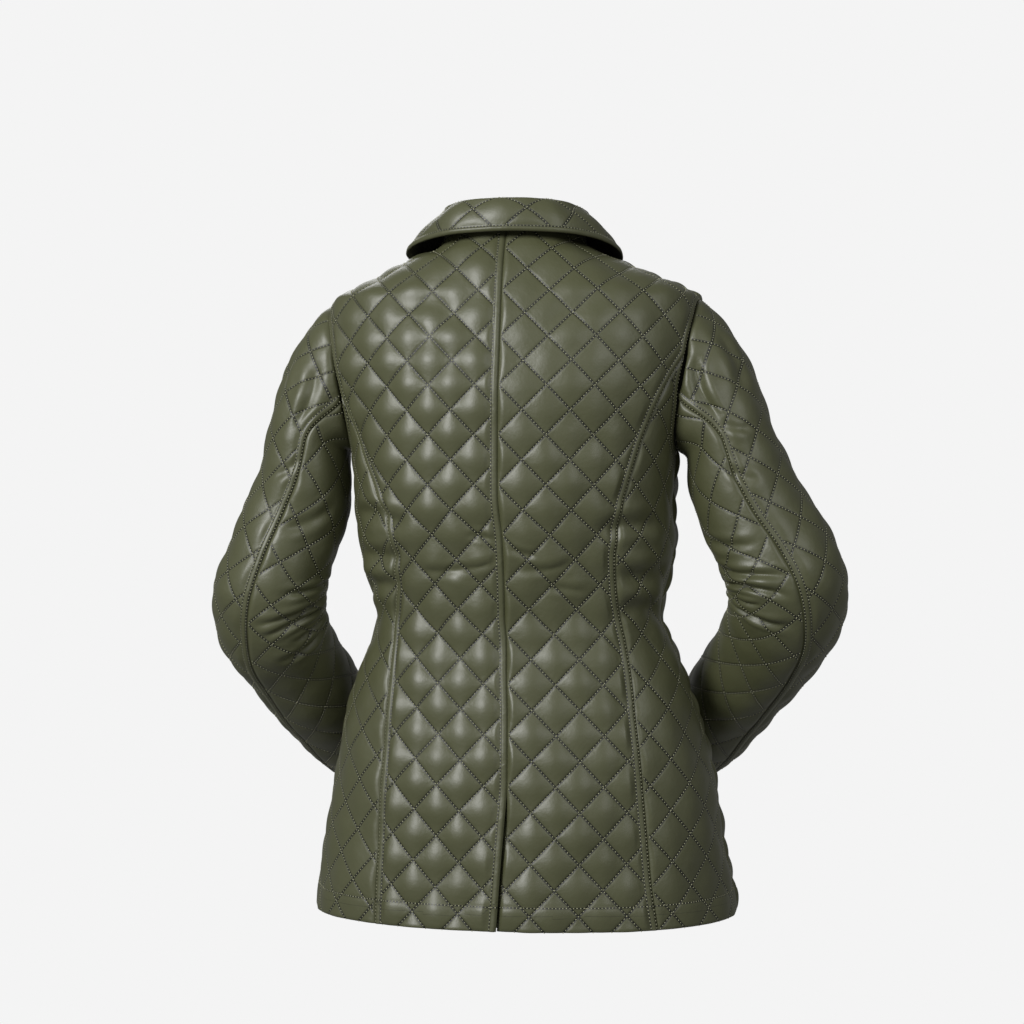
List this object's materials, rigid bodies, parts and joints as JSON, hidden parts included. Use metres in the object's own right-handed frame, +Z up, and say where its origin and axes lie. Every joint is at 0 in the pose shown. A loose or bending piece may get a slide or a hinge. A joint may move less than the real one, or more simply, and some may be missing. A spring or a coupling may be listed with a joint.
{
  "type": "quilted jacket",
  "caption": "Hip-length diamond-quilted jacket with a folded collar, princess seams, long two-piece sleeves and a back vent, in the hollow form it takes when worn.",
  "frame": {"origin": "midway between the shoulders at the base of the neck, where the wearer's shoulders hold the jacket up", "axes": "+Z up, the front faces -Y, +X is the wearer's left"},
  "size_m": [0.6802, 0.3303, 0.7474],
  "materials": {
    "shell": "satin olive green coated cloth, quilted in diamonds",
    "snap_metal": "dull antique metal"
  },
  "bodies": {
    "root": {"back_left": "shell", "back_right": "shell", "side_back_left": "shell", "side_back_right": "shell", "front_left": "shell", "front_right": "shell", "collar": "shell", "upper_sleeve_left": "shell", "under_sleeve_left": "shell", "upper_sleeve_right": "shell", "under_sleeve_right": "shell", "front_placket": "shell", "vent_underlap": "shell", "snap_1": "snap_metal", "snap_2": "snap_metal", "snap_3": "snap_metal", "snap_4": "snap_metal", "snap_5": "snap_metal"}
  },
  "joints": []
}
